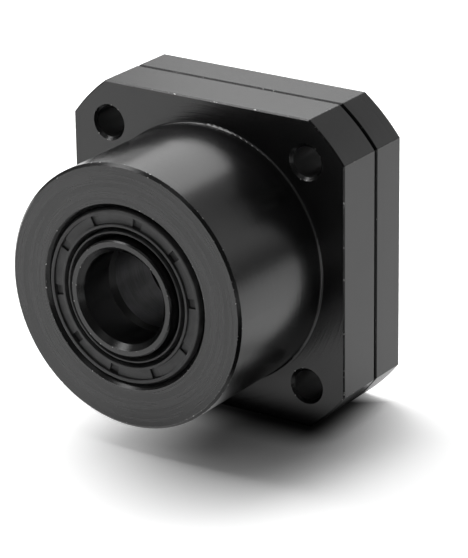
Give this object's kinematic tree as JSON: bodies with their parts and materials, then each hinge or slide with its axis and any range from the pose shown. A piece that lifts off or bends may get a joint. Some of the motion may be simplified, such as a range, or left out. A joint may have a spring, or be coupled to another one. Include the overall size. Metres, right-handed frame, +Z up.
{
  "type": "ball screw end support",
  "caption": "Flange-mounted fixed-side support unit for a ball screw end: round barrel with oil seal and collar, square cut-corner flange and retaining lid with bolt holes.",
  "frame": {"origin": "on the bore axis, in the plane of the flange's mounting face", "axes": "-Y along the bore axis towards the barrel's nose, +Y towards the retaining lid, +Z up, +X to the right seen from the nose"},
  "size_m": [0.068, 0.0544, 0.068],
  "materials": {
    "black_oxide_steel": "black oxide, semi-gloss, fine turning and milling marks",
    "screw_steel": "black oxide, satin",
    "bearing_steel": "ground and polished",
    "ball_steel": "mirror polished",
    "cage_nylon": "moulded, matte",
    "seal_rubber": "moulded nitrile rubber, satin",
    "seal_case_steel": "pressed, phosphated",
    "spring_steel": "drawn wire"
  },
  "bodies": {
    "housing_set": {"housing_barrel": "black_oxide_steel", "housing_flange": "black_oxide_steel", "retaining_lid": "black_oxide_steel", "lid_screws": "screw_steel", "front_outer_ring": "bearing_steel", "rear_outer_ring": "bearing_steel", "front_seal_rubber": "seal_rubber", "rear_seal_rubber": "seal_rubber", "front_seal_case": "seal_case_steel", "rear_seal_case": "seal_case_steel", "front_seal_spring": "spring_steel", "rear_seal_spring": "spring_steel"},
    "rotor": {"front_collar": "black_oxide_steel", "rear_collar": "black_oxide_steel", "front_inner_ring": "bearing_steel", "rear_inner_ring": "bearing_steel"},
    "front_cage_set": {"front_cage": "cage_nylon", "front_ball_01": "ball_steel", "front_ball_02": "ball_steel", "front_ball_03": "ball_steel", "front_ball_04": "ball_steel", "front_ball_05": "ball_steel", "front_ball_06": "ball_steel", "front_ball_07": "ball_steel", "front_ball_08": "ball_steel", "front_ball_09": "ball_steel", "front_ball_10": "ball_steel", "front_ball_11": "ball_steel"},
    "rear_cage_set": {"rear_cage": "cage_nylon", "rear_ball_01": "ball_steel", "rear_ball_02": "ball_steel", "rear_ball_03": "ball_steel", "rear_ball_04": "ball_steel", "rear_ball_05": "ball_steel", "rear_ball_06": "ball_steel", "rear_ball_07": "ball_steel", "rear_ball_08": "ball_steel", "rear_ball_09": "ball_steel", "rear_ball_10": "ball_steel", "rear_ball_11": "ball_steel"}
  },
  "joints": [
    {"name": "rotor_turn", "type": "hinge", "parent": "housing_set", "child": "rotor", "pos_m": [0, -0.0064, 0], "axis": [0, 1, 0], "continuous": true},
    {"name": "front_cage_turn", "type": "hinge", "parent": "housing_set", "child": "front_cage_set", "pos_m": [0, -0.0134, 0], "axis": [0, 1, 0], "continuous": true},
    {"name": "rear_cage_turn", "type": "hinge", "parent": "housing_set", "child": "rear_cage_set", "pos_m": [0, 0.0006, 0], "axis": [0, 1, 0], "continuous": true}
  ],
  "couplings": [
    {"joint": "front_cage_turn", "follows": "rotor_turn", "ratio": 0.39739},
    {"joint": "rear_cage_turn", "follows": "rotor_turn", "ratio": 0.39739}
  ]
}
